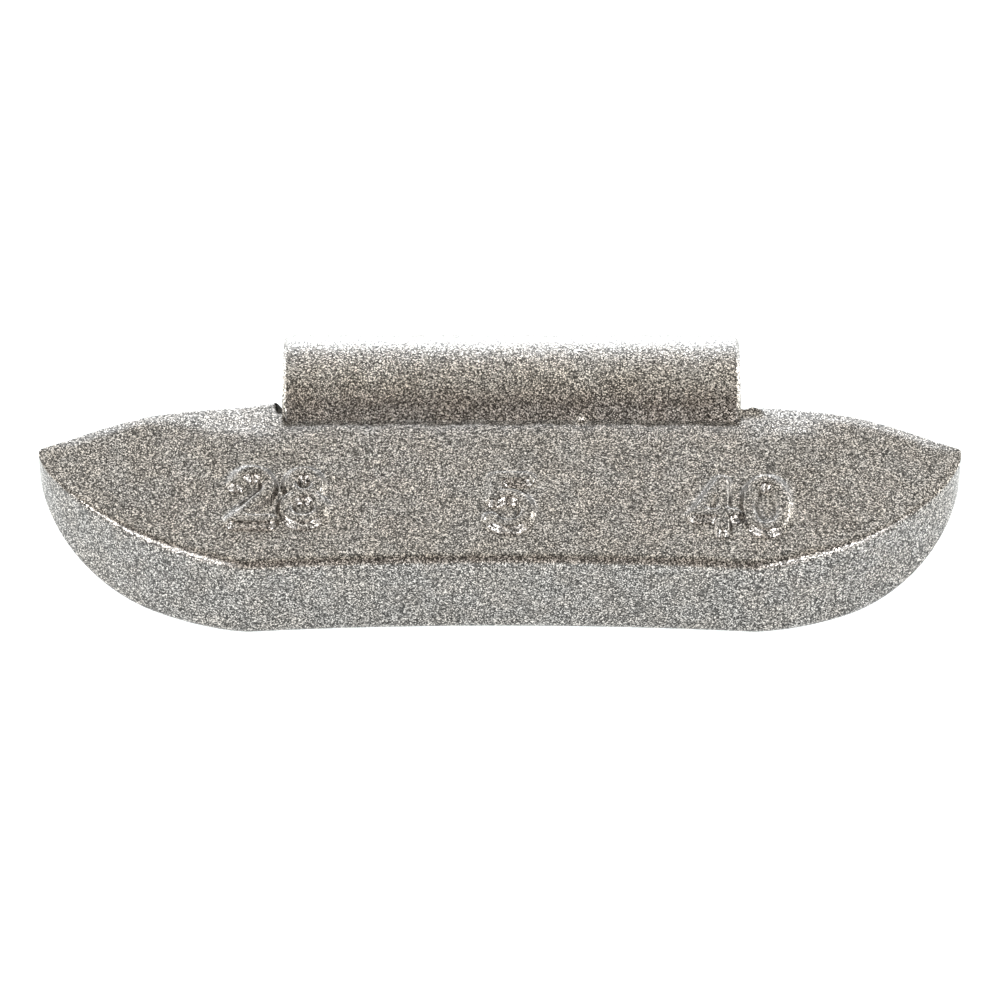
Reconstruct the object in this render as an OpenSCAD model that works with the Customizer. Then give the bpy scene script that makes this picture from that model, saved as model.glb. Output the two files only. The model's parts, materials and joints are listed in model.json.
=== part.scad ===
/* [Cast weight] */
// Length of the cast weight, tip to tip
weight_l = 48; // [44:0.5:60]
// Height of the cast weight at its middle, from bottom edge to top edge
weight_h = 12.2; // [10:0.1:16]
// Thickness of the cast weight, from back face to front face
weight_t = 4.9; // [4:0.1:7]
// Radius of the wheel rim that the long edges follow
rim_r = 210; // [150:5:400]
// Length of each tapered end
end_l = 11; // [9:0.5:14]
// Length at each end over which the top edge falls to the tip
end_top_l = 13; // [11:0.5:16]
// Fullness of the left end's outline, where 2 is an ellipse
left_fullness = 1.65; // [1.4:0.05:2.2]
// Fullness of the right end's outline, where 2 is an ellipse
right_fullness = 1.8; // [1.4:0.05:2.2]
// How much less full the front face's outline is, so that the bottom face is wider at the ends
front_slack = 0.25; // [0:0.05:0.4]
// How far the tips lie below the top edge
tip_drop = 4.4; // [2:0.1:6]
// Height of each blunt tip
tip_h = 0.4; // [0.2:0.1:1]
// Thickness of each blunt tip
tip_t = 0.9; // [0.5:0.1:2]
// Length of the rounded nose that lifts the back of each end
nose_l = 6; // [2:0.1:8]
// How far the bottom face leans in towards the front, as mould draft
draft = 0.5; // [0:0.1:1]

/* [Crown of the front face] */
// Height of the band that leans back at the top of the front face
crown_h = 1.9; // [1:0.1:3]
// How far the crown leans back at the top edge
crown_drop = 0.5; // [0.2:0.05:1]
// Share of the crown that is left at the tapered ends
crown_end = 0.4; // [0.2:0.1:1]

/* [Relief for the rim] */
// Height of the sloping relief at the top of the back face
relief_h = 4.2; // [3:0.1:6]
// Depth of the relief at the top edge
relief_d = 1; // [0.5:0.1:2.5]

/* [Rounded edges] */
// Radius of the back bottom edge
back_edge_r = 0.5; // [0.2:0.1:1]
// Radius of the front bottom edge
front_edge_r = 0.8; // [0.2:0.1:1.2]
// Radius of the top front edge
top_edge_r = 0.6; // [0.2:0.1:1]
// Radius of the top back edge and of the start of the relief
relief_edge_r = 0.5; // [0.2:0.1:1]

/* [Spring clip] */
// Width of the steel strip
clip_w = 24; // [16:0.5:30]
// How far to the right of the middle the strip sits
clip_offset = 0.6; // [-2:0.1:2]
// Thickness of the steel strip
clip_t = 1; // [0.8:0.1:1.4]
// Outer radius of the hook that goes over the rim flange
hook_r = 4.4; // [4:0.1:6]
// Depth of the seam, where the strip leaves the cast weight, below the top edge
seam_h = 1.7; // [1:0.1:2.4]
// How far the strip leans forward as it leaves the cast weight
front_lean = 40; // [20:1:45]
// How far the free leg leans in towards the back face
leg_lean = 14; // [5:1:18]
// Length of the straight part of the free leg
leg_l = 2.5; // [1.5:0.1:4]
// Bend that turns the end of the free leg outwards
flare_turn = 24; // [10:1:30]
// Length of the straight end of the flare
flare_l = 0.6; // [0.3:0.1:1.5]
// Radius at mid thickness of the small bends in the strip
bend_r = 1.5; // [1.4:0.1:2.5]
// Length of the sloping part of the tang inside the cast weight
tang_slope_l = 1.4; // [0.5:0.1:2]
// Length of the straight end of the tang inside the cast weight
tang_l = 3.8; // [2.5:0.1:5]

/* [Anchor holes in the tang] */
// Diameter of each hole that the cast metal fills
anchor_d = 2.2; // [1.2:0.1:2.6]
// Number of holes
anchor_count = 3; // [2:1:4]
// Distance from hole to hole
anchor_pitch = 6.5; // [4:0.5:8]

/* [Hidden] */
$fn = 48;

coating = "#a39c90";
half_l = weight_l / 2;
// Half length of the middle stretch, which keeps its full height
middle_l = half_l - end_l;
edge_steps = 4;
middle_steps = 4;
end_steps = 22;
bend_step = 4;

// All of these take the distance u along the weight, which is negative on the left
function fullness(u) = u < 0 ? left_fullness : right_fullness;
// Share of the way along a tapered end, 0 at its start and 1 at the tip
function end_share(u) = max(0, min(1, (abs(u) - middle_l) / end_l));
// Height of the tapered end that is left, 1 at its start and 0 at the tip
function taper(u, slack) =
    let (full = fullness(u) - slack)
    pow(1 - pow(end_share(u), full), 1 / full);
// How far the rim's curve falls away
function rim_sag(u) = pow(min(abs(u), middle_l), 2) / (2 * rim_r);

end_fall = tip_drop - tip_h - rim_sag(middle_l);
end_top_r = (pow(end_top_l, 2) + pow(end_fall, 2)) / (2 * end_fall);
function end_top_fall(u) =
    end_top_r - sqrt(pow(end_top_r, 2) - pow(max(0, abs(u) - half_l + end_top_l), 2));

// Height of the top edge, which is 0 at the middle
function top_v(u) = -rim_sag(u) - end_top_fall(u);
// Heights of the back and front bottom edges
function bottom_v(u, h, slack) = -tip_drop - (h + rim_sag(u) - tip_drop) * taper(u, slack);
function back_bottom_v(u) = bottom_v(u, weight_h, 0);
function front_bottom_v(u) = bottom_v(u, weight_h - draft, front_slack);

// How far the back face has risen towards the front
function nose_share(u) = max(0, min(1, (abs(u) - half_l + nose_l) / nose_l));
function back_w(u) = (weight_t - tip_t) * (1 - sqrt(1 - pow(nose_share(u), 2)));

// Shares of the full thickness, height and crown that are left
function thick_share(u) = (weight_t - back_w(u)) / weight_t;
function high_share(u) = (top_v(u) - back_bottom_v(u)) / weight_h;
function size_share(u) = min(thick_share(u), high_share(u));
function crown_share(u) =
    min(1 - (1 - crown_end) * min(1, 2 * end_share(u)), high_share(u));

function unit(v) = v / norm(v);
function turned(p, angle) =
    [p.x * cos(angle) - p.y * sin(angle), p.x * sin(angle) + p.y * cos(angle)];

// Arc of radius r that rounds the corner b between the points a and c
function corner_arc(a, b, c, r) =
    let (
        to_a = unit(a - b),
        to_c = unit(c - b),
        half = acos(to_a * to_c) / 2,
        centre = b + unit(to_a + to_c) * r / sin(half),
        start = b + to_a * r / tan(half) - centre,
        turn = sign(cross(b - a, c - b)) * (180 - 2 * half)
    )
    [for (i = [0:edge_steps]) centre + turned(start, turn * i / edge_steps)];

crown_turn = atan(crown_drop / crown_h);
crown_r = 0.72 * crown_h / tan(crown_turn / 2);

// Corners of the cross-section at u, as [height, depth, radius]
function section_corners(u) =
    let (
        s = size_share(u),
        k = crown_share(u),
        top = top_v(u),
        back = back_w(u)
    )
    [
        [back_bottom_v(u), back, back_edge_r * s],
        [top - relief_h * high_share(u), back, relief_edge_r * s],
        [top, back + relief_d * thick_share(u), relief_edge_r * s],
        [top, weight_t - crown_drop * k * thick_share(u), top_edge_r * min(s, k)],
        [top - crown_h * k, weight_t, crown_r * k * min(1, k / thick_share(u))],
        [front_bottom_v(u), weight_t, front_edge_r * s]
    ];

// Cross-section of the cast weight, with every corner rounded
function section(u) =
    let (corners = section_corners(u), n = len(corners))
    [for (i = [0:n - 1])
        let (
            before = corners[(i + n - 1) % n],
            corner = corners[i],
            after = corners[(i + 1) % n]
        )
        each corner_arc(
            [before.x, before.y], [corner.x, corner.y], [after.x, after.y], corner.z)];

// Distances from the middle at which the cross-section is drawn
half_stations = concat(
    [for (i = [1:middle_steps]) middle_l * i / middle_steps],
    [for (i = [1:end_steps]) middle_l + end_l * sin(90 * i / end_steps)]);
stations = concat(
    [for (i = [len(half_stations) - 1:-1:0]) -half_stations[i]], [0], half_stations);
rings = [for (u = stations) [for (p = section(u)) [u, p.x, p.y]]];

// The strip's route in the plane of the cross-section. A pose is [height, depth, heading].
seam = [-seam_h, weight_t - crown_drop * (1 - seam_h / crown_h)];
hook_centre = seam + hook_r * [sin(front_lean), -cos(front_lean)];
strip_r = hook_r - clip_t / 2;

function hook_pose(angle, heading) =
    [hook_centre.x + strip_r * cos(angle), hook_centre.y + strip_r * sin(angle), heading];
function straight_on(pose, l) =
    [pose.x + l * cos(pose.z), pose.y + l * sin(pose.z), pose.z];
function bent_on(pose, r, turn) =
    let (n = ceil(abs(turn) / bend_step), signed_r = r * sign(turn))
    [for (i = [1:n])
        let (heading = pose.z + turn * i / n)
        [
            pose.x + signed_r * (sin(heading) - sin(pose.z)),
            pose.y + signed_r * (cos(pose.z) - cos(heading)),
            heading
        ]];
function last(list) = list[len(list) - 1];
function reversed(list) = [for (i = [len(list) - 1:-1:0]) list[i]];

// Free leg, from the hook to its end behind the cast weight
leg_start = hook_pose(-90 - leg_lean, -180 - leg_lean);
leg_bend = straight_on(leg_start, leg_l);
flare_poses = bent_on(leg_bend, bend_r, flare_turn);
leg_end = straight_on(last(flare_poses), flare_l);

// Hook and tang, from the free leg to the end inside the cast weight
hook_start = [leg_start.x, leg_start.y, leg_start.z + 180];
hook_poses = bent_on(hook_start, strip_r, 180 + leg_lean + front_lean);
tang_bend = straight_on(last(hook_poses), tang_slope_l);
tang_poses = bent_on(tang_bend, bend_r, -front_lean);
tang_end = straight_on(last(tang_poses), tang_l);
tang_middle = straight_on(last(tang_poses), tang_l / 2);

leg_poses = [for (pose = concat([leg_bend], flare_poses, [leg_end])) pose + [0, 0, 180]];
strip_poses = concat(
    reversed(leg_poses), [hook_start], hook_poses, [tang_bend], tang_poses, [tang_end]);

function beside(pose, d) = [pose.x - d * sin(pose.z), pose.y + d * cos(pose.z)];
strip_end_cap = [for (a = [-72:18:72])
    [leg_end.x + clip_t / 2 * cos(leg_end.z + a), leg_end.y + clip_t / 2 * sin(leg_end.z + a)]];
strip_outline = concat(
    strip_end_cap,
    [for (pose = strip_poses) beside(pose, -clip_t / 2)],
    [for (pose = reversed(strip_poses)) beside(pose, clip_t / 2)]);

// The part lies on its back: on the low points of its bottom edge and on its clip.
// Slope of the line that passes under the point p and under a circle of radius r
function slope_under(p, centre, r) =
    atan2(centre.y - p.y, centre.x - p.x) - asin(r / norm(centre - p));
function lying_tilt(centre, r) =
    -max([for (p = section(middle_l)) slope_under(p, centre, r)]);
leg_tip = [leg_end.x, leg_end.y];
tilt = max(lying_tilt(hook_centre, hook_r), lying_tilt(leg_tip, clip_t / 2));

function lying_y(p) = p.x * cos(tilt) - p.y * sin(tilt);
function lying_z(p) = p.x * sin(tilt) + p.y * cos(tilt);
low_z = min(lying_z(hook_centre) - hook_r, lying_z(leg_tip) - clip_t / 2);
far_y = lying_y(hook_centre) + hook_r;
near_y = min([for (ring = rings) for (p = ring) lying_y([p.y, p.z])]);

module lying() {
    translate([0, -(far_y + near_y) / 2, -low_z])
        rotate([tilt, 0, 0])
            children();
}

// Skin through all the cross-sections, closed by a small flat at each tip
module weight_blank() {
    n = len(rings[0]);
    last_ring = len(rings) - 1;
    points = [for (ring = rings) each ring];
    skin = [for (i = [0:last_ring - 1]) for (j = [0:n - 1])
        let (
            a = i * n + j,
            b = i * n + (j + 1) % n
        )
        each [[a, a + n, b + n], [a, b + n, b]]];
    first_cap = [for (j = [0:n - 1]) j];
    last_cap = [for (j = [n - 1:-1:0]) last_ring * n + j];
    polyhedron(points = points, faces = concat([first_cap, last_cap], skin), convexity = 4);
}

// Steel strip bent into a hook, with its tang and the holes in it
module bent_strip() {
    difference() {
        translate([clip_offset, 0, 0])
            rotate([90, 0, 90])
                linear_extrude(height = clip_w, center = true)
                    polygon(strip_outline);
        for (i = [0:anchor_count - 1])
            translate([
                clip_offset + (i - (anchor_count - 1) / 2) * anchor_pitch,
                tang_middle.x,
                tang_middle.y
            ])
                cylinder(d = anchor_d, h = 2 * clip_t, center = true);
    }
}

module cast_weight() {
    color(coating)
        lying()
            difference() {
                weight_blank();
                bent_strip();
            }
}

module spring_clip() {
    color(coating)
        lying()
            bent_strip();
}

cast_weight();
spring_clip();
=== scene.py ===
import json
import math

import bpy
import numpy as np
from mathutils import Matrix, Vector


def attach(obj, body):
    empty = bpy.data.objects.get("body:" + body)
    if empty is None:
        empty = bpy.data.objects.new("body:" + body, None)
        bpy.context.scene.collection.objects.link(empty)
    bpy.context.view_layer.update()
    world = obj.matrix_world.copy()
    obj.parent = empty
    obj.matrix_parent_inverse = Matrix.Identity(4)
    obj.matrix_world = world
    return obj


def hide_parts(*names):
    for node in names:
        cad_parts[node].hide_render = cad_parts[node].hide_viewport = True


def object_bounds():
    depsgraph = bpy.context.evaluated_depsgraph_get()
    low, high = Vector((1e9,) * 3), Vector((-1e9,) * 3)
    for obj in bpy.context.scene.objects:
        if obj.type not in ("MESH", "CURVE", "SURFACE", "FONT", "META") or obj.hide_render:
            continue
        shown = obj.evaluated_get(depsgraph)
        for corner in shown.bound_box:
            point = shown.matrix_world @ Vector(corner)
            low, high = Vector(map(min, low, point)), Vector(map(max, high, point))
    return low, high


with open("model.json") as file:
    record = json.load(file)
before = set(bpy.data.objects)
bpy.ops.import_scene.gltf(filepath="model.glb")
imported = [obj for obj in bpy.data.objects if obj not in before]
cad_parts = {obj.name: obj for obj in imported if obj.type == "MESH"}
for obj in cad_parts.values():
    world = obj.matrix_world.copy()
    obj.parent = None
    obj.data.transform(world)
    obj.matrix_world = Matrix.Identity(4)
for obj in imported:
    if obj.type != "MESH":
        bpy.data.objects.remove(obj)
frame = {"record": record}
cad_low, cad_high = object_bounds()

# Sizes of the part, in millimetres. They are the ones its solids are made with.
MM = 0.001
WEIGHT_L, WEIGHT_H, WEIGHT_T = 48.0, 12.2, 4.9
RIM_R = 210.0
END_L, END_TOP_L = 11.0, 13.0
LEFT_FULLNESS, RIGHT_FULLNESS, FRONT_SLACK = 1.65, 1.8, 0.25
TIP_DROP, TIP_H, TIP_T = 4.4, 0.4, 0.9
NOSE_L = 6.0
DRAFT = 0.5
CROWN_H, CROWN_DROP, CROWN_END = 1.9, 0.5, 0.4
RELIEF_H, RELIEF_D = 4.2, 1.0
BACK_EDGE_R, FRONT_EDGE_R, TOP_EDGE_R, RELIEF_EDGE_R = 0.5, 0.8, 0.6, 0.5
CLIP_W, CLIP_T, CLIP_OFFSET = 24.0, 1.0, 0.6
HOOK_R, SEAM_H = 4.4, 1.7
FRONT_LEAN, LEG_LEAN, FLARE_TURN = 40.0, 14.0, 24.0
LEG_L, FLARE_L, BEND_R = 2.5, 0.6, 1.5
TANG_SLOPE_L, TANG_L = 1.4, 3.8

HALF_L = WEIGHT_L / 2
MIDDLE_L = HALF_L - END_L
CLIP_LEFT, CLIP_RIGHT = CLIP_OFFSET - CLIP_W / 2, CLIP_OFFSET + CLIP_W / 2
SEAM = (-SEAM_H, WEIGHT_T - CROWN_DROP * (1 - SEAM_H / CROWN_H))
HOOK_CENTRE = (
    SEAM[0] + HOOK_R * math.sin(math.radians(FRONT_LEAN)),
    SEAM[1] - HOOK_R * math.cos(math.radians(FRONT_LEAN)),
)


# Places. The cross-section has height v and depth w, and u runs along the weight.


def mount(name):
    """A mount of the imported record."""
    return next(m for m in frame["record"]["mounts"] if m["name"] == name)


BACK_NORMAL = mount("back_face")["axis"]
TILT = math.atan2(BACK_NORMAL[1], -BACK_NORMAL[2])


def turned(v, w):
    """Height and depth turned into the lying part's Y and Z."""
    return v * np.cos(TILT) - w * np.sin(TILT), v * np.sin(TILT) + w * np.cos(TILT)


HOOK_PLACE = mount("rim_hook")["pos_m"]
Y_START = HOOK_PLACE[1] - turned(*HOOK_CENTRE)[0] * MM
Z_START = HOOK_PLACE[2] - turned(*HOOK_CENTRE)[1] * MM
# The skins are a hair smaller than the solids, so they stay inside their box
SNUG = 0.9985


def placed(u, v, w):
    """Points of the row frame, in metres, for arrays of u, v and w in millimetres."""
    y, z = turned(np.asarray(v), np.asarray(w))
    x = np.asarray(u) * MM + 0 * y
    points = np.stack([x, y * MM + Y_START, z * MM + Z_START], -1)
    middle = (np.array(cad_low) + np.array(cad_high)) / 2
    return middle + (points - middle) * SNUG


def smooth(x):
    """Eases from 0 to 1."""
    x = np.clip(x, 0, 1)
    return x * x * (3 - 2 * x)


# The casting's cross-sections


def end_share(u):
    """Share of the way along a tapered end, 0 at its start and 1 at the tip."""
    return min(1.0, max(0.0, (abs(u) - MIDDLE_L) / END_L))


def taper(u, slack):
    """Height of a tapered end that is left, 1 at its start and 0 at the tip."""
    fullness = (LEFT_FULLNESS if u < 0 else RIGHT_FULLNESS) - slack
    return (1 - end_share(u) ** fullness) ** (1 / fullness)


def rim_sag(u):
    """How far the rim's curve falls away."""
    return min(abs(u), MIDDLE_L) ** 2 / (2 * RIM_R)


END_FALL = TIP_DROP - TIP_H - rim_sag(MIDDLE_L)
END_TOP_R = (END_TOP_L**2 + END_FALL**2) / (2 * END_FALL)


def top_v(u):
    """Height of the top edge, which is 0 at the middle."""
    along = max(0.0, abs(u) - HALF_L + END_TOP_L)
    return -rim_sag(u) - END_TOP_R + math.sqrt(END_TOP_R**2 - along**2)


def bottom_v(u, h, slack):
    """Height of a bottom edge that lies h below the top edge at the middle."""
    return -TIP_DROP - (h + rim_sag(u) - TIP_DROP) * taper(u, slack)


def back_w(u):
    """How far the back face has risen towards the front."""
    nose = min(1.0, max(0.0, (abs(u) - HALF_L + NOSE_L) / NOSE_L))
    return (WEIGHT_T - TIP_T) * (1 - math.sqrt(1 - nose**2))


# Radius of the front bottom edge along its middle, where the middle ends, and the length
# before that over which the radius changes
TIGHT_EDGE_R, TIGHT_HALF, TIGHT_FADE = 0.6, 16.0, 3.0
# How much higher than the solid's the front bottom edge is in its middle, with the same two
EDGE_WEAR, WEAR_HALF, WEAR_FADE = 0.24, 19.5, 4.0
# Share of the crown's height that is rounded into the front face
CROWN_ROUND = 0.72
CROWN_R = CROWN_ROUND * CROWN_H / math.tan(math.atan2(CROWN_DROP, CROWN_H) / 2)


def front_edge_r(u):
    """Radius of the front bottom edge, which is tighter along its straight middle."""
    share = smooth((TIGHT_HALF - abs(u)) / TIGHT_FADE)
    return FRONT_EDGE_R + (TIGHT_EDGE_R - FRONT_EDGE_R) * share


def section_corners(u):
    """Corners of the cross-section at u, as (v, w, radius)."""
    top, back, bottom = top_v(u), back_w(u), bottom_v(u, WEIGHT_H, 0)
    wear = EDGE_WEAR * smooth((WEAR_HALF - abs(u)) / WEAR_FADE)
    front_bottom = bottom_v(u, WEIGHT_H - DRAFT - wear, FRONT_SLACK)
    thick = (WEIGHT_T - back) / WEIGHT_T
    high = (top - bottom) / WEIGHT_H
    s = min(thick, high)
    k = min(1 - (1 - CROWN_END) * min(1, 2 * end_share(u)), high)
    return [
        (bottom, back, BACK_EDGE_R * s),
        (top - RELIEF_H * high, back, RELIEF_EDGE_R * s),
        (top, back + RELIEF_D * thick, RELIEF_EDGE_R * s),
        (top, WEIGHT_T - CROWN_DROP * k * thick, TOP_EDGE_R * min(s, k)),
        (top - CROWN_H * k, WEIGHT_T, CROWN_R * k * min(1, k / thick)),
        (front_bottom, WEIGHT_T, front_edge_r(u) * s),
    ]


# Steps round each corner, and along the back, relief, top, crown, front and bottom
ARC_STEPS = [5, 3, 5, 8, 22, 8]
RUN_STEPS = [14, 6, 8, 3, 88, 28]
# Radius that rounds each tip, and the least share of its cross-section that is left
TIP_ROUND = 0.16
TIP_KEEP = 0.15


def corner_arc(before, corner, after, r, steps):
    """Points of the arc that rounds a corner."""
    to_a, to_c = before - corner, after - corner
    to_a, to_c = to_a / np.linalg.norm(to_a), to_c / np.linalg.norm(to_c)
    half = math.acos(float(np.clip(to_a @ to_c, -1, 1))) / 2
    centre = corner + (to_a + to_c) / np.linalg.norm(to_a + to_c) * r / math.sin(half)
    start = corner + to_a * r / math.tan(half) - centre
    side = -np.sign(to_a[0] * to_c[1] - to_a[1] * to_c[0])
    angles = side * (math.pi - 2 * half) * np.arange(steps + 1) / steps
    cos, sin = np.cos(angles), np.sin(angles)
    return centre + np.stack([start[0] * cos - start[1] * sin, start[0] * sin + start[1] * cos], 1)


def section(u):
    """Points round the cross-section at u, evenly spread along each straight run."""
    corners = np.array(section_corners(u))
    n = len(corners)
    arcs = []
    for i, steps in enumerate(ARC_STEPS):
        before, corner, after = corners[i - 1], corners[i], corners[(i + 1) % n]
        arcs.append(corner_arc(before[:2], corner[:2], after[:2], corner[2], steps))
    points = []
    for i, steps in enumerate(RUN_STEPS):
        share = np.arange(1, steps)[:, None] / steps
        points += [arcs[i], arcs[i][-1] + (arcs[(i + 1) % n][0] - arcs[i][-1]) * share]
    points = np.concatenate(points)
    # The last stretch shrinks in a quarter circle, which rounds the tip
    room = min(1.0, max(0.0, 1 - (HALF_L - abs(u)) / TIP_ROUND))
    inset = TIP_ROUND * (1 - math.sqrt(1 - room**2))
    centre = points.mean(0)
    size = (points.max(0) - points.min(0)) / 2
    return centre + (points - centre) * (1 - np.minimum(1 - TIP_KEEP, inset / size))


MIDDLE_STEPS, END_STEPS = 104, 88
# Steps of that length on each side of the clip's ends, and the least step that is kept
CLOSE_STEPS, CLOSE_STEP, LEAST_STEP = 7, 0.06, 0.003


def stations():
    """Distances along the weight, closer together at the tips and at the clip's ends."""
    middle = MIDDLE_L * np.arange(1, MIDDLE_STEPS + 1) / MIDDLE_STEPS
    end = MIDDLE_L + END_L * np.sin(np.pi / 2 * np.arange(1, END_STEPS + 1) / END_STEPS)
    close = CLOSE_STEP * np.arange(-CLOSE_STEPS, CLOSE_STEPS + 1)
    all_us = [-middle, -end, [0.0], middle, end, CLIP_LEFT + close, CLIP_RIGHT + close]
    us = np.sort(np.concatenate(all_us))
    return us[np.concatenate([[True], np.diff(us) > LEAST_STEP])]


# Raised numerals. A stroke is a line (x, y to x, y) or an arc (centre, radii, from and to angle)
# in a cell one high.
DIGITS = {
    "2": [(0.31, 0.71, 0.27, 0.29, 168, -38), (0.52, 0.53, 0.03, 0.0), (0.03, 0.0, 0.6, 0.0)],
    "8": [(0.31, 0.77, 0.21, 0.23, 0, 360), (0.31, 0.27, 0.28, 0.27, 0, 360)],
    "5": [(0.56, 1.0, 0.1, 1.0), (0.1, 1.0, 0.07, 0.56), (0.29, 0.32, 0.3, 0.32, 128, -150)],
    "4": [(0.44, 0.0, 0.44, 1.0), (0.44, 1.0, 0.02, 0.3), (0.02, 0.3, 0.62, 0.3)],
    "0": [(0.31, 0.5, 0.28, 0.5, 0, 360)],
}
# Text of each group, its middle along the weight, and how far it sits below the first
NUMERALS = [("28", -11.5, 0.0), ("5", 0.5, 0.32), ("40", 12.4, 0.55)]
# Height of a digit, its width and pitch as shares of that, and the height v of its foot
DIGIT_H, DIGIT_W, DIGIT_PITCH, DIGIT_BASE = 3.2, 0.62, 0.84, -8.98
# Half the width of a stroke's flat top, the width of its sloping side, and its rise
STROKE_HALF, STROKE_SOFT, STROKE_RISE = 0.21, 0.36, 0.41
ARC_CHORDS = 28
# Points this near to the front face's depth belong to it
FACE_SLACK = 0.02


def stroke_points(stroke):
    """A stroke as a row of points in its cell."""
    if len(stroke) == 4:
        return np.array(stroke).reshape(2, 2)
    x, y, a, b, start, stop = stroke
    angle = np.radians(np.linspace(start, stop, ARC_CHORDS + 1))
    return np.stack([x + a * np.cos(angle), y + b * np.sin(angle)], 1)


def numeral_strokes():
    """All strokes on the front face, as rows of points in u and v."""
    rows = []
    for text, middle, drop in NUMERALS:
        start = middle - ((len(text) - 1) * DIGIT_PITCH + DIGIT_W) * DIGIT_H / 2
        for i, digit in enumerate(text):
            for stroke in DIGITS[digit]:
                x, y = stroke_points(stroke).T
                u = start + (x + i * DIGIT_PITCH) * DIGIT_H
                rows.append(np.stack([u, DIGIT_BASE - drop + y * DIGIT_H], 1))
    return rows


def distance_to_rows(points, rows):
    """Distance of each point to the nearest row of points joined by lines."""
    best = np.full(len(points), math.inf)
    for row in rows:
        for a, b in zip(row[:-1], row[1:]):
            ab = b - a
            share = np.clip(((points - a) @ ab) / (ab @ ab), 0, 1)
            best = np.minimum(best, np.linalg.norm(points - a - share[:, None] * ab, axis=1))
    return best


# What the casting leaves round the clip. Each depth range says where a feature starts and
# over what length it comes in, so that it stays at the front.
CLIP_FADE = 0.3
# An uneven groove under the clip: distance below the seam, width, depth, and its unevenness
GROOVE_V, GROOVE_W, GROOVE_D, GROOVE_WAVE = 0.15, 0.42, 0.1, 0.3
# The waves of that unevenness as (radians per millimetre, phase, height)
WAVES = [(1.7, 0.6, 0.5), (3.9, 2.1, 0.3), (8.3, 0.0, 0.2)]
# The strip's front is tucked in just above the seam, over that height, by that depth
TUCK_H, TUCK_D = 0.4, 0.05
# A bead in the groove: place along the weight, distance below the seam, radius and height
BEAD_U, BEAD_V, BEAD_R, BEAD_H = 4.25, 0.05, 0.24, 0.5
# Metal drawn up at the clip's left end: start, length of its climb, reach under the clip,
# height, and how far down the crown and from what depth it reaches
RISE_START, RISE_CLIMB, RISE_UNDER = -14.4, 2.0, 0.8
RISE_H, RISE_DOWN, RISE_RANGE = 0.3, 1.3, (2.2, 1.2)
# A pit beside that end: distance from it, width, distance below the top, height and depth
PIT_U, PIT_W, PIT_V, PIT_H, PIT_D = 0.06, 0.26, 0.6, 0.5, 0.75
# A notch at the clip's right end: its far side, the slope of that, the height of its floor,
# how rough the floor is, and how far down and out the edge in front of it is filled
NOTCH_END, NOTCH_FADE, NOTCH_V = 13.85, 0.25, 1.1
NOTCH_ROUGH, NOTCH_WAVE = 0.08, 7.0
NOTCH_H, NOTCH_W = 0.7, 4.8
NOTCH_RANGE, FILL_RANGE = (2.9, 1.0), (3.2, 1.2)
# Shoulders that swell beside both ends: place along the weight, reach and depth, and then
# the distance below the top and the reach above and below that
SWELLS = [(-13.6, 2.2, 0.2), (15.5, 1.9, 0.19)]
SWELL_V, SWELL_ABOVE, SWELL_BELOW = 3.45, 0.95, 2.8


def wave(u):
    """An uneven curve along the seam, from about -1 to 1."""
    return sum(height * np.sin(turn * u + phase) for turn, phase, height in WAVES)


def hump(x, size):
    """A round hump one high at x = 0, which falls away within about that size."""
    return np.exp(-((x / size) ** 2))


def eased(x, start, length):
    """Eases from 0 at the start to 1 over that length."""
    return smooth((x - start) / length)


def cast_details(u, v, w):
    """Heights and depths of the skin with what the casting leaves round the clip."""
    front = w > WEIGHT_T / 2
    below_seam, below_top = SEAM[0] - v, -v
    under_clip = eased(u, CLIP_LEFT, CLIP_FADE) * eased(-u, -CLIP_RIGHT, CLIP_FADE)
    size = 1 + GROOVE_WAVE * wave(u)
    groove = GROOVE_D * size * hump(below_seam - GROOVE_V, GROOVE_W * size)
    bead = BEAD_H * hump(u - BEAD_U, BEAD_R) * hump(below_seam - BEAD_V, BEAD_R)
    pit = PIT_D * hump(u - CLIP_LEFT - PIT_U, PIT_W) * hump(below_top - PIT_V, PIT_H)

    beside = eased(u, CLIP_RIGHT - CLIP_FADE, CLIP_FADE) * eased(-u, -NOTCH_END, NOTCH_FADE)
    floor = NOTCH_V + NOTCH_ROUGH * np.sin(NOTCH_WAVE * u)
    notch = beside * np.maximum(0, floor - below_top) * eased(w, *NOTCH_RANGE)
    fill = beside * smooth((floor + NOTCH_H - below_top) / NOTCH_H) * eased(w, *FILL_RANGE)

    reach = np.where(below_top < SWELL_V, SWELL_ABOVE, SWELL_BELOW)
    swell = sum(depth * hump(u - place, wide) for place, wide, depth in SWELLS)
    swell = swell * hump(below_top - SWELL_V, reach)

    climb = eased(u, RISE_START, RISE_CLIMB) * eased(-u, -CLIP_LEFT - RISE_UNDER, RISE_UNDER)
    rise = RISE_H * climb * smooth(1 - below_top / RISE_DOWN) * eased(w, *RISE_RANGE)

    w = w + front * (under_clip * (bead - groove) + swell - pit)
    w = w + fill * np.maximum(0, NOTCH_W - w)
    return v + rise - notch, w


# The clip's strip


def pose_on(pose, length):
    """The pose (v, w, heading) that lies straight on by that length."""
    return (pose[0] + length * math.cos(pose[2]), pose[1] + length * math.sin(pose[2]), pose[2])


def straight(pose, length, step):
    """Poses along a straight stretch of the strip."""
    n = max(1, math.ceil(length / step))
    return [pose_on(pose, length * i / n) for i in range(1, n + 1)]


def bend(pose, r, turn, step):
    """Poses along a bend that turns by that many degrees."""
    turn = math.radians(turn)
    n = math.ceil(abs(turn) * r / step)
    r = math.copysign(r, turn)
    poses = []
    for i in range(1, n + 1):
        heading = pose[2] + turn * i / n
        v = pose[0] + r * (math.sin(heading) - math.sin(pose[2]))
        w = pose[1] + r * (math.cos(pose[2]) - math.cos(heading))
        poses.append((v, w, heading))
    return poses


STRIP_STEP = 0.16


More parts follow.
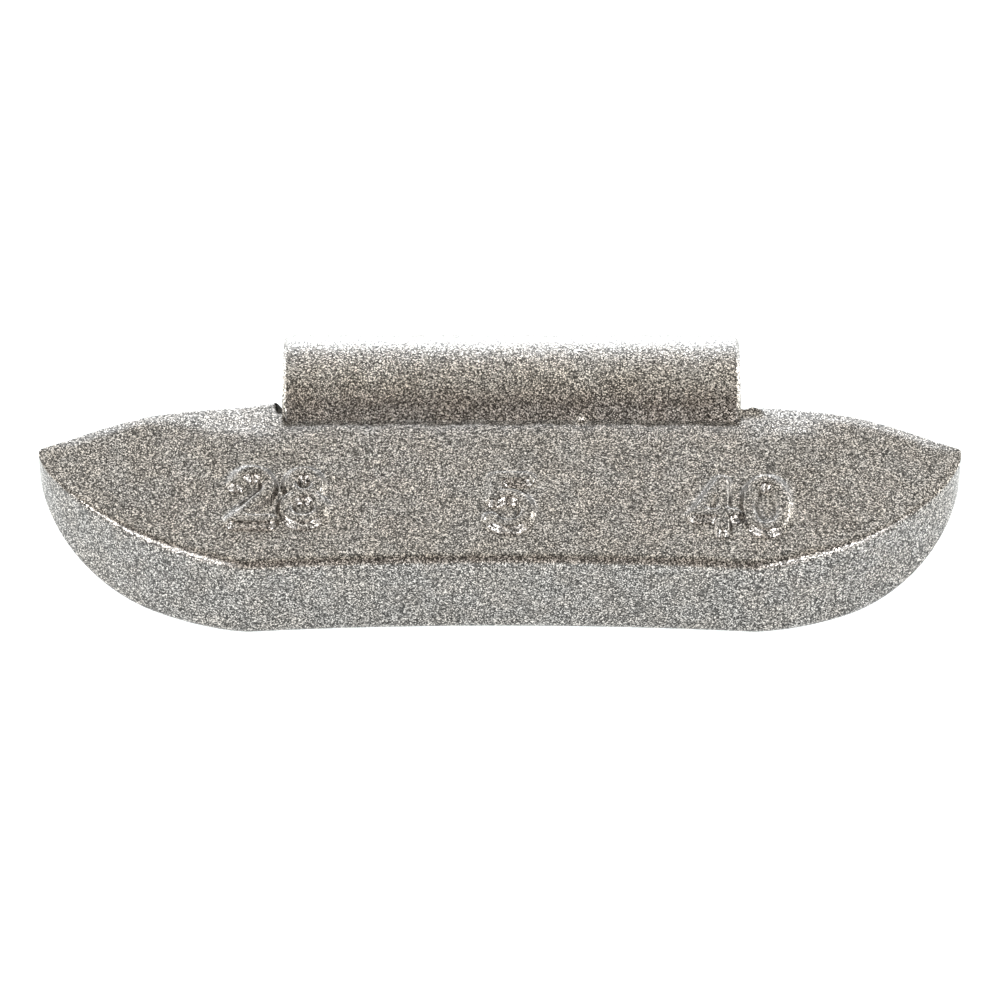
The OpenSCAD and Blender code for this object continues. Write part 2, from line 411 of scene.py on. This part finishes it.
def strip_poses():
    """Poses of the strip's mid line, from the end of its free leg to the end of its tang."""
    r = HOOK_R - CLIP_T / 2
    angle = math.radians(-90 - LEG_LEAN)
    start = (HOOK_CENTRE[0] + r * math.cos(angle), HOOK_CENTRE[1] + r * math.sin(angle))
    down = (*start, angle - math.pi / 2)
    leg = straight(down, LEG_L, STRIP_STEP)
    leg += bend(leg[-1], BEND_R, FLARE_TURN, STRIP_STEP)
    leg += straight(leg[-1], FLARE_L, STRIP_STEP)
    up = (*start, angle + math.pi / 2)
    hook = [up] + bend(up, r, 180 + LEG_LEAN + FRONT_LEAN, STRIP_STEP)
    hook += straight(hook[-1], TANG_SLOPE_L, STRIP_STEP)
    hook += bend(hook[-1], BEND_R, -FRONT_LEAN, STRIP_STEP)
    hook += straight(hook[-1], TANG_L, STRIP_STEP)
    return [(v, w, heading + math.pi) for v, w, heading in reversed(leg)] + hook


# The strip's long edges are broken: a small flat of this reach between two tight roundings
EDGE_FLAT, EDGE_R, EDGE_STEPS, STRIP_WIDE_STEPS = 0.17, 0.07, 3, 70
# Steps round the leg's round end, which stops just short of closing, at that angle
LEG_END_STEPS, LEG_END_TURN = 7, 88.0


def strip_section():
    """Points round the strip's cross-section: across its width and through its thickness."""
    reach = EDGE_R + EDGE_FLAT
    a, b = CLIP_W / 2 - reach, CLIP_T / 2 - reach
    points = []
    for i, (x, y) in enumerate([(a, b), (-a, b), (-a, -b), (a, -b)]):
        start = np.pi / 2 * i
        arc = []
        for half in (0, 1):
            angles = start + np.pi / 4 * (half + np.arange(EDGE_STEPS + 1) / EDGE_STEPS)
            way = start + np.pi / 2 * half
            cx, cy = x + EDGE_FLAT * math.cos(way), y + EDGE_FLAT * math.sin(way)
            arc.append(np.stack([cx + EDGE_R * np.cos(angles), cy + EDGE_R * np.sin(angles)], 1))
        arc = np.concatenate(arc)
        points.append(arc)
        if i % 2 == 0:
            along = np.linspace(x, -x, STRIP_WIDE_STEPS + 1)[1:-1]
            points.append(np.stack([along, np.full_like(along, arc[-1, 1])], 1))
    return np.concatenate(points)


# Meshes


def skin(name, rings):
    """A closed, smooth mesh through rings of points, with a fan at each end."""
    count, n = rings.shape[:2]
    i, j = np.meshgrid(np.arange(count - 1), np.arange(n), indexing="ij")
    a, b = i * n + j, i * n + (j + 1) % n
    quads = np.stack([a, a + n, b + n, b], -1).reshape(-1, 4)
    edge = np.arange(n)
    ahead = (edge + 1) % n
    last = (count - 1) * n
    start = np.stack([np.full(n, count * n), edge, ahead], -1)
    end = np.stack([np.full(n, count * n + 1), ahead + last, edge + last], -1)
    points = np.concatenate([rings.reshape(-1, 3), [rings[0].mean(0), rings[-1].mean(0)]])
    faces = quads.tolist() + start.tolist() + end.tolist()
    mesh = bpy.data.meshes.new(name)
    mesh.from_pydata(points.tolist(), [], faces)
    mesh.polygons.foreach_set("use_smooth", [True] * len(faces))
    mesh.update()
    obj = bpy.data.objects.new(name, mesh)
    bpy.context.scene.collection.objects.link(obj)
    return obj


def casting_rings():
    """The casting's skin, with its numerals and what the casting leaves round the clip."""
    us = stations()
    rings = np.array([section(u) for u in us])
    v, w = rings[..., 0], rings[..., 1]
    u = np.repeat(us[:, None], v.shape[1], 1)
    face = w > WEIGHT_T - FACE_SLACK
    points = np.stack([u[face], v[face]], 1)
    far = distance_to_rows(points, numeral_strokes())
    numerals = np.zeros_like(w)
    numerals[face] = STROKE_RISE * smooth(1 - (far - STROKE_HALF) / STROKE_SOFT)
    v, w = cast_details(u, v, w)
    return placed(u, v, w + numerals)


def clip_rings():
    """The clip's skin. Its free leg ends in a round edge."""
    outline = strip_section()
    poses = strip_poses()
    stretch = []
    for angle in np.linspace(math.pi / 2, 0, LEG_END_STEPS)[:-1]:
        angle = min(angle, math.radians(LEG_END_TURN))
        stretch.append((pose_on(poses[0], -CLIP_T / 2 * math.sin(angle)), math.cos(angle)))
    stretch += [(pose, 1.0) for pose in poses]
    u = CLIP_OFFSET - outline[:, 0]
    rings = []
    for (v, w, heading), thin in stretch:
        through = outline[:, 1] * thin
        height, depth = v - through * math.sin(heading), w + through * math.cos(heading)
        above_seam = height - SEAM[0]
        tuck = TUCK_D * smooth(1 - above_seam / TUCK_H) * (depth > WEIGHT_T / 2)
        rings.append(placed(u, height, depth - tuck))
    return np.array(rings)


# Materials


def node(tree, kind, **settings):
    """A new node with those settings."""
    new = tree.nodes.new(kind)
    for key, value in settings.items():
        setattr(new, key, value)
    return new


def math_node(tree, operation, a, b=0.0):
    """Arithmetic on two values, each a number or a socket."""
    new = node(tree, "ShaderNodeMath", operation=operation)
    for value, socket in zip((a, b), new.inputs):
        if isinstance(value, (int, float)):
            socket.default_value = value
        else:
            tree.links.new(value, socket)
    return new.outputs["Value"]


def soft_step(tree, value, start, full):
    """Eases from 0 to 1 as the value goes from start to full."""
    new = node(tree, "ShaderNodeMapRange", interpolation_type="SMOOTHSTEP")
    new.inputs["From Min"].default_value = start
    new.inputs["From Max"].default_value = full
    tree.links.new(value, new.inputs["Value"])
    return new.outputs["Result"]


def tone_ramp(tree, value, tones):
    """A ramp of greys or colours over a value from 0 to 1."""
    ramp = node(tree, "ShaderNodeValToRGB")
    stops = ramp.color_ramp.elements
    for i, (position, level) in enumerate(tones):
        stop = stops[i] if i < 2 else stops.new(position)
        stop.position = position
        stop.color = (*level, 1) if isinstance(level, tuple) else (level, level, level, 1)
    tree.links.new(value, ramp.inputs["Fac"])
    return ramp.outputs["Color"]


# The Mix node's colour inputs, and its colour output
MIX_A, MIX_B, MIX_RESULT = 6, 7, 2


def mixed(tree, a, b, share, blend="MIX"):
    """A mix of two colours, each a triple or a socket."""
    new = node(tree, "ShaderNodeMix", data_type="RGBA", blend_type=blend)
    if isinstance(share, float):
        new.inputs[0].default_value = share
    else:
        tree.links.new(share, new.inputs[0])
    for value, socket in zip((a, b), (new.inputs[MIX_A], new.inputs[MIX_B])):
        if isinstance(value, tuple):
            socket.default_value = (*value, 1)
        else:
            tree.links.new(value, socket)
    return new.outputs[MIX_RESULT]


# Size of a flake, how much light each share of the flakes returns, and how far they tilt
FLAKE = 0.052
FLAKE_TONES = [(0.0, 0.02), (0.35, 0.07), (0.6, 0.2), (0.8, 0.5), (0.92, 1.0), (1.0, 1.0)]
FLAKE_TILT = 0.22
# The paint's two tints, and the size and fade of the patches that they form
WARM, COOL = (1.0, 0.935, 0.87), (0.975, 0.935, 0.895)
MOTTLE, MOTTLE_FADE = 1.6, (0.35, 0.65)
# Width and height of the ripples in the paint
RIPPLE, RIPPLE_H = 2.2, 0.05
NOISE_DETAIL = 2.0
PAINT_ROUGH, FILM, FILM_ROUGH = 0.3, 0.5, 0.12
CAST_BRIGHTNESS, CLIP_BRIGHTNESS = 0.8, 1.0
# Painted shade where the clip meets the casting: how much darker the clip's paint gets at its
# seam, how far along Y that reaches, and the depths below the seam in Z at which it starts
# and is full
PAINTED_SEAM_SHADE, SHADE_REACH, SHADE_DEPTH = 0.34, 0.85, (2.5, 1.5)


def noise(tree, place, size):
    """Soft noise of that size in millimetres."""
    new = node(tree, "ShaderNodeTexNoise")
    new.inputs["Scale"].default_value = 1 / (size * MM)
    new.inputs["Detail"].default_value = NOISE_DETAIL
    tree.links.new(place, new.inputs["Vector"])
    return new.outputs["Fac"]


def painted_shade_near_seam(tree, place):
    """How close a place at the front is to the seam, from 0 to 1, which is the share of painted
    shade there.
    """
    y, z = turned(*SEAM)
    y, z = y * MM + Y_START, z * MM + Z_START
    axes = node(tree, "ShaderNodeSeparateXYZ")
    tree.links.new(place, axes.inputs["Vector"])
    near = soft_step(tree, axes.outputs["Y"], y + SHADE_REACH * MM, y)
    front = soft_step(tree, axes.outputs["Z"], *(z - depth * MM for depth in SHADE_DEPTH))
    return math_node(tree, "MULTIPLY", near, front)


def coating(name, brightness, painted_seam_shade):
    """Silver-grey paint full of fine metal flakes, which lie at all angles under a clear film.
    Painted shade can darken it towards the clip's seam.
    """
    material = bpy.data.materials.new(name)
    material.use_nodes = True
    tree = material.node_tree
    link = tree.links.new
    shader = tree.nodes["Principled BSDF"]
    place = node(tree, "ShaderNodeTexCoord").outputs["Object"]

    flakes = node(tree, "ShaderNodeTexVoronoi", feature="F1")
    flakes.inputs["Scale"].default_value = 1 / (FLAKE * MM)
    link(place, flakes.inputs["Vector"])
    shade = node(tree, "ShaderNodeSeparateColor")
    link(flakes.outputs["Color"], shade.inputs["Color"])
    level = tone_ramp(tree, shade.outputs["Red"], FLAKE_TONES)

    patches = soft_step(tree, noise(tree, place, MOTTLE), *MOTTLE_FADE)
    warm, cool = (tuple(c * brightness for c in tint) for tint in (WARM, COOL))
    tint = mixed(tree, warm, cool, patches)
    # Painted shade: the clip's paint darkens towards its seam with the casting, where shade falls
    # between the parts
    if painted_seam_shade:
        dark = math_node(tree, "MULTIPLY", painted_shade_near_seam(tree, place), painted_seam_shade)
        tint = mixed(tree, tint, (0.0, 0.0, 0.0), dark)
    link(mixed(tree, level, tint, 1.0, "MULTIPLY"), shader.inputs["Base Color"])

    bump = node(tree, "ShaderNodeBump")
    bump.inputs["Strength"].default_value = 1.0
    bump.inputs["Distance"].default_value = RIPPLE_H * MM
    link(noise(tree, place, RIPPLE), bump.inputs["Height"])
    lean = node(tree, "ShaderNodeVectorMath", operation="MULTIPLY_ADD")
    link(flakes.outputs["Color"], lean.inputs[0])
    lean.inputs[1].default_value = (FLAKE_TILT,) * 3
    lean.inputs[2].default_value = (-FLAKE_TILT / 2,) * 3
    way = node(tree, "ShaderNodeVectorMath", operation="ADD")
    link(bump.outputs["Normal"], way.inputs[0])
    link(lean.outputs["Vector"], way.inputs[1])
    facing = node(tree, "ShaderNodeVectorMath", operation="NORMALIZE")
    link(way.outputs["Vector"], facing.inputs[0])
    link(facing.outputs["Vector"], shader.inputs["Normal"])

    shader.inputs["Metallic"].default_value = 1.0
    shader.inputs["Roughness"].default_value = PAINT_ROUGH
    shader.inputs["Coat Weight"].default_value = FILM
    shader.inputs["Coat Roughness"].default_value = FILM_ROUGH
    return material


# Stage

FLOOR_HALF = 1.5
FLOOR_COLOR, FLOOR_ROUGH = (0.4, 0.414, 0.428), 0.9
FLOOR_GLOW, GLOW_COLOR = 1.02, (0.96, 1.0, 1.0)


def stage_floor():
    """A white floor, faintly lit from below like a light table."""
    mesh = bpy.data.meshes.new("floor")
    corners = [(x * FLOOR_HALF, y * FLOOR_HALF, 0) for x, y in ((-1, -1), (1, -1), (1, 1), (-1, 1))]
    mesh.from_pydata(corners, [], [(0, 1, 2, 3)])
    floor = bpy.data.objects.new("floor", mesh)
    bpy.context.scene.collection.objects.link(floor)
    material = bpy.data.materials.new("white_floor")
    material.use_nodes = True
    shader = material.node_tree.nodes["Principled BSDF"]
    shader.inputs["Base Color"].default_value = (*FLOOR_COLOR, 1)
    shader.inputs["Roughness"].default_value = FLOOR_ROUGH
    shader.inputs["Emission Color"].default_value = (*GLOW_COLOR, 1)
    shader.inputs["Emission Strength"].default_value = FLOOR_GLOW
    mesh.materials.append(material)


# The tent's light by direction: Y from the camera's side to the back, then its strength
SKY_BY_DEPTH = [
    (-1.0, 1.25), (-0.9, 0.8), (-0.78, 0.46), (-0.4, 0.66), (0.1, 1.18),
    (0.42, 1.31), (0.5, 1.48), (0.7, 1.62), (0.85, 2.75), (0.94, 4.0), (1.0, 5.4),
]
SKY_TOP = 5.4
# The side lights: where they start and are full by distance out to the side, by depth and
# by height, and their strength
SIDE_OUT, SIDE_DEEP, SIDE_HIGH, SIDE_LIGHT = (0.55, 0.8), (-0.05, 0.2), (0.5, 0.25), 5.2
# The tent's tint, again from the camera's side to the back
SKY_TINTS = [
    (-1.0, (1.0, 0.93, 0.84)), (-0.7, (1.0, 0.88, 0.77)), (0.0, (1.0, 0.97, 0.88)),
    (0.5, (1.0, 0.98, 0.93)), (0.8, (0.97, 1.0, 1.02)),
]


def tent_light():
    """A white tent: brightest low behind the part, bright at both sides, dim at the camera."""
    scene = bpy.context.scene
    scene.view_settings.view_transform = "Standard"
    world = bpy.data.worlds.new("tent")
    world.use_nodes = True
    scene.world = world
    tree = world.node_tree
    way = node(tree, "ShaderNodeSeparateXYZ")
    tree.links.new(node(tree, "ShaderNodeTexCoord").outputs["Generated"], way.inputs["Vector"])
    x, y, z = (way.outputs[axis] for axis in "XYZ")

    depth = math_node(tree, "MULTIPLY", math_node(tree, "ADD", y, 1.0), 0.5)
    tones = [((at + 1) / 2, strength / SKY_TOP) for at, strength in SKY_BY_DEPTH]
    front = math_node(tree, "MULTIPLY", tone_ramp(tree, depth, tones), SKY_TOP)
    side = soft_step(tree, math_node(tree, "ABSOLUTE", x), *SIDE_OUT)
    for way_out, steps in ((y, SIDE_DEEP), (z, SIDE_HIGH)):
        side = math_node(tree, "MULTIPLY", side, soft_step(tree, way_out, *steps))
    side = math_node(tree, "MULTIPLY", side, SIDE_LIGHT)
    sky = tree.nodes["Background"]
    tree.links.new(math_node(tree, "MAXIMUM", front, side), sky.inputs["Strength"])
    tints = [((at + 1) / 2, tint) for at, tint in SKY_TINTS]
    tree.links.new(tone_ramp(tree, depth, tints), sky.inputs["Color"])


BOX_DISTANCE, BOX_SIZE = 0.5, (0.3, 0.2)
# Name, side and power of each soft box, then its angle to the side and its height angle
BOXES = [("left_box", -1, 1.6), ("right_box", 1, 1.2)]
BOX_TURN, BOX_RISE = 44.0, 24.0


def soft_boxes():
    """Two soft boxes, in front of the part on the left and on the right."""
    for name, side, power in BOXES:
        light = bpy.data.lights.new(name, "AREA")
        light.shape = "RECTANGLE"
        light.size, light.size_y = BOX_SIZE
        light.energy = power
        box = bpy.data.objects.new(name, light)
        turn, rise = math.radians(BOX_TURN), math.radians(BOX_RISE)
        flat = math.cos(rise)
        way = Vector((side * math.sin(turn) * flat, -math.cos(turn) * flat, math.sin(rise)))
        box.location = way * BOX_DISTANCE
        box.rotation_euler = way.to_track_quat("Z", "Y").to_euler()
        bpy.context.scene.collection.objects.link(box)


VIEW_LEAN, VIEW_DISTANCE = 40.0, 0.35
# The weight's share of the picture's width, and how far below its middle the camera aims
WIDTH_SHARE, AIM_DROP = 0.918, 1.56
SENSOR, CLIP_NEAR, CLIP_FAR = 36.0, 0.01, 10.0


def studio_camera():
    """The camera leans by that angle from the front face's normal, towards the bottom face."""
    camera = bpy.data.cameras.new("camera")
    camera.sensor_width = SENSOR
    camera.lens = SENSOR * WIDTH_SHARE * VIEW_DISTANCE / (WEIGHT_L * MM)
    camera.clip_start, camera.clip_end = CLIP_NEAR, CLIP_FAR
    obj = bpy.data.objects.new("camera", camera)
    rise = math.radians(90 - VIEW_LEAN) - TILT
    back = Vector((0, -math.cos(rise), math.sin(rise)))
    up = Vector((0, math.sin(rise), math.cos(rise)))
    middle = (Vector(cad_low) + Vector(cad_high)) / 2 - up * AIM_DROP * MM
    obj.location = middle + back * VIEW_DISTANCE
    obj.rotation_euler = back.to_track_quat("Z", "Y").to_euler()
    bpy.context.scene.collection.objects.link(obj)
    bpy.context.scene.camera = obj


stage_floor()
tent_light()
soft_boxes()
studio_camera()

casting = skin("coated_casting", casting_rings())
casting.data.materials.append(coating("cast_coating", CAST_BRIGHTNESS, 0.0))
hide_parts("cast_weight")
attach(casting, "root")

clip = skin("coated_clip", clip_rings())
# The clip's paint carries painted shade at its seam with the casting
clip.data.materials.append(coating("clip_coating", CLIP_BRIGHTNESS, PAINTED_SEAM_SHADE))
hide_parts("spring_clip")
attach(clip, "root")
